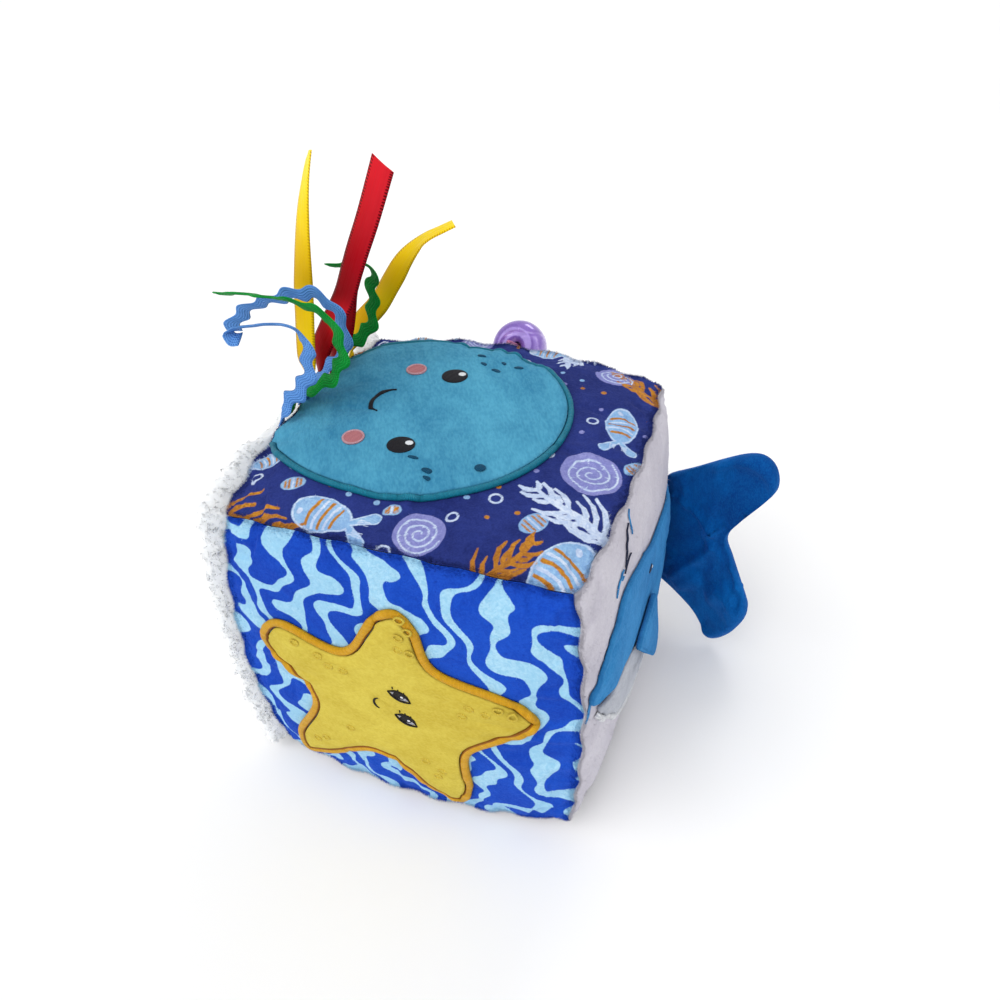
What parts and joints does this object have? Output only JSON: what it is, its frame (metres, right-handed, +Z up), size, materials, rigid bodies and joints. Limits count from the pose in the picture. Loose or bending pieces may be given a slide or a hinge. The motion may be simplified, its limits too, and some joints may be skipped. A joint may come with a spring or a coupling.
{
  "type": "soft fabric block",
  "caption": "Stuffed plush cube with sewn-on sea creatures, a stuffed tail, satin ribbons and ric-rac along one seam, and a bead on a cord.",
  "frame": {"origin": "centre of the flat spot the block stands on, at floor height", "axes": "+Z up through the jellyfish panel, -Y out of the starfish panel, +X out of the whale panel, -X out of the fleece panel"},
  "size_m": [0.2165, 0.1782, 0.2448],
  "materials": {
    "filling_white": "loose polyester fibre",
    "plush_navy": "short-pile plush with a small print",
    "plush_royal_blue": "short-pile plush with pale wavy bands",
    "plush_blush": "short-pile plush",
    "fleece_white": "curly sherpa fleece",
    "plush_aqua": "short-pile plush",
    "thread_teal": "satin stitching",
    "plush_yellow": "short-pile plush",
    "thread_gold": "satin stitching",
    "plush_ocean": "short-pile plush",
    "plush_grey": "brushed plush",
    "plush_deep_blue": "minky plush",
    "thread_black": "embroidery",
    "thread_salmon": "embroidery",
    "thread_white": "fluffy overlock stitching",
    "satin_yellow": "satin weave",
    "satin_red": "satin weave",
    "ricrac_blue": "braided trim",
    "ricrac_green": "braided trim",
    "bead_purple": "pearly gloss",
    "cord_pink": "braided cord"
  },
  "bodies": {
    "block": {"filling_core": "filling_white", "jellyfish_body": "plush_aqua", "jellyfish_cheek_back": "thread_salmon", "jellyfish_cheek_front": "thread_salmon", "jellyfish_eye_back": "thread_black", "jellyfish_eye_front": "thread_black", "jellyfish_satin_edge": "thread_teal", "jellyfish_smile": "thread_black", "panel_back": "plush_blush", "panel_bottom": "plush_blush", "panel_front": "plush_royal_blue", "panel_left_fleece": "fleece_white", "panel_right": "plush_blush", "panel_top": "plush_navy", "starfish_body": "plush_yellow", "starfish_eye_lower": "thread_black", "starfish_eye_upper": "thread_black", "starfish_mouth": "thread_black", "starfish_satin_edge": "thread_gold", "whale_belly": "plush_grey", "whale_belly_hem": "thread_white", "whale_body": "plush_ocean", "whale_eye": "thread_black"},
    "blue_ricrac_front_strand": {"blue_ricrac_front": "ricrac_blue"},
    "green_ricrac_front_strand": {"green_ricrac_front": "ricrac_green"},
    "blue_ricrac_back_strand": {"blue_ricrac_back": "ricrac_blue"},
    "yellow_ribbon_left_strand": {"yellow_ribbon_left": "satin_yellow"},
    "red_ribbon_front_strand": {"red_ribbon_front": "satin_red"},
    "red_ribbon_back_strand": {"red_ribbon_back": "satin_red"},
    "green_ricrac_back_strand": {"green_ricrac_back": "ricrac_green"},
    "yellow_ribbon_right_strand": {"yellow_ribbon_right": "satin_yellow"},
    "tail": {"tail_skin_front": "plush_deep_blue", "tail_skin_back": "plush_deep_blue", "tail_filling": "filling_white"},
    "fin": {"whale_fin": "plush_ocean"},
    "cord": {"bead_cord": "cord_pink"},
    "bead": {"bead": "bead_purple"}
  },
  "joints": [
    {"name": "blue_ricrac_front_bend", "type": "hinge", "parent": "block", "child": "blue_ricrac_front_strand", "pos_m": [-0.06977, -0.014, 0.14257], "axis": [0, 1, 0], "range_deg": [-98, 10], "stiffness_Nm_per_rad": 0.002},
    {"name": "green_ricrac_front_bend", "type": "hinge", "parent": "block", "child": "green_ricrac_front_strand", "pos_m": [-0.06996, -0.006, 0.14276], "axis": [0, 1, 0], "range_deg": [-100, 12], "stiffness_Nm_per_rad": 0.002},
    {"name": "blue_ricrac_back_bend", "type": "hinge", "parent": "block", "child": "blue_ricrac_back_strand", "pos_m": [-0.07, 0.002, 0.1428], "axis": [0, 1, 0], "range_deg": [-100, 8], "stiffness_Nm_per_rad": 0.002},
    {"name": "yellow_ribbon_left_bend", "type": "hinge", "parent": "block", "child": "yellow_ribbon_left_strand", "pos_m": [-0.06988, 0.01, 0.14268], "axis": [0, 1, 0], "range_deg": [-88, 12], "stiffness_Nm_per_rad": 0.002},
    {"name": "red_ribbon_front_bend", "type": "hinge", "parent": "block", "child": "red_ribbon_front_strand", "pos_m": [-0.06962, 0.018, 0.14242], "axis": [0, 1, 0], "range_deg": [-88, 12], "stiffness_Nm_per_rad": 0.002},
    {"name": "red_ribbon_back_bend", "type": "hinge", "parent": "block", "child": "red_ribbon_back_strand", "pos_m": [-0.0692, 0.026, 0.142], "axis": [0, 1, 0], "range_deg": [-100, 10], "stiffness_Nm_per_rad": 0.002},
    {"name": "green_ricrac_back_bend", "type": "hinge", "parent": "block", "child": "green_ricrac_back_strand", "pos_m": [-0.0686, 0.034, 0.1414], "axis": [0, 1, 0], "range_deg": [-98, 12], "stiffness_Nm_per_rad": 0.002},
    {"name": "yellow_ribbon_right_bend", "type": "hinge", "parent": "block", "child": "yellow_ribbon_right_strand", "pos_m": [-0.06783, 0.042, 0.14063], "axis": [0, 1, 0], "range_deg": [-98, 5], "stiffness_Nm_per_rad": 0.002},
    {"name": "tail_sway", "type": "hinge", "parent": "block", "child": "tail", "pos_m": [0.07055, 0.07055, 0.0728], "axis": [0, 0, 1], "range_deg": [-15, 120], "stiffness_Nm_per_rad": 0.01},
    {"name": "fin_lift", "type": "hinge", "parent": "block", "child": "fin", "pos_m": [0.07744, -0.0058, 0.07216], "axis": [0, -1, 0], "range_deg": [-3, 90], "stiffness_Nm_per_rad": 0.0005},
    {"name": "cord_swing", "type": "hinge", "parent": "block", "child": "cord", "pos_m": [-0.005, 0.07047, 0.14327], "axis": [1, 0, 0], "range_deg": [0, 145]},
    {"name": "bead_spin", "type": "hinge", "parent": "cord", "child": "bead", "pos_m": [-0.005, 0.08584, 0.1321], "axis": [0, 0.809, -0.5878], "continuous": true}
  ]
}
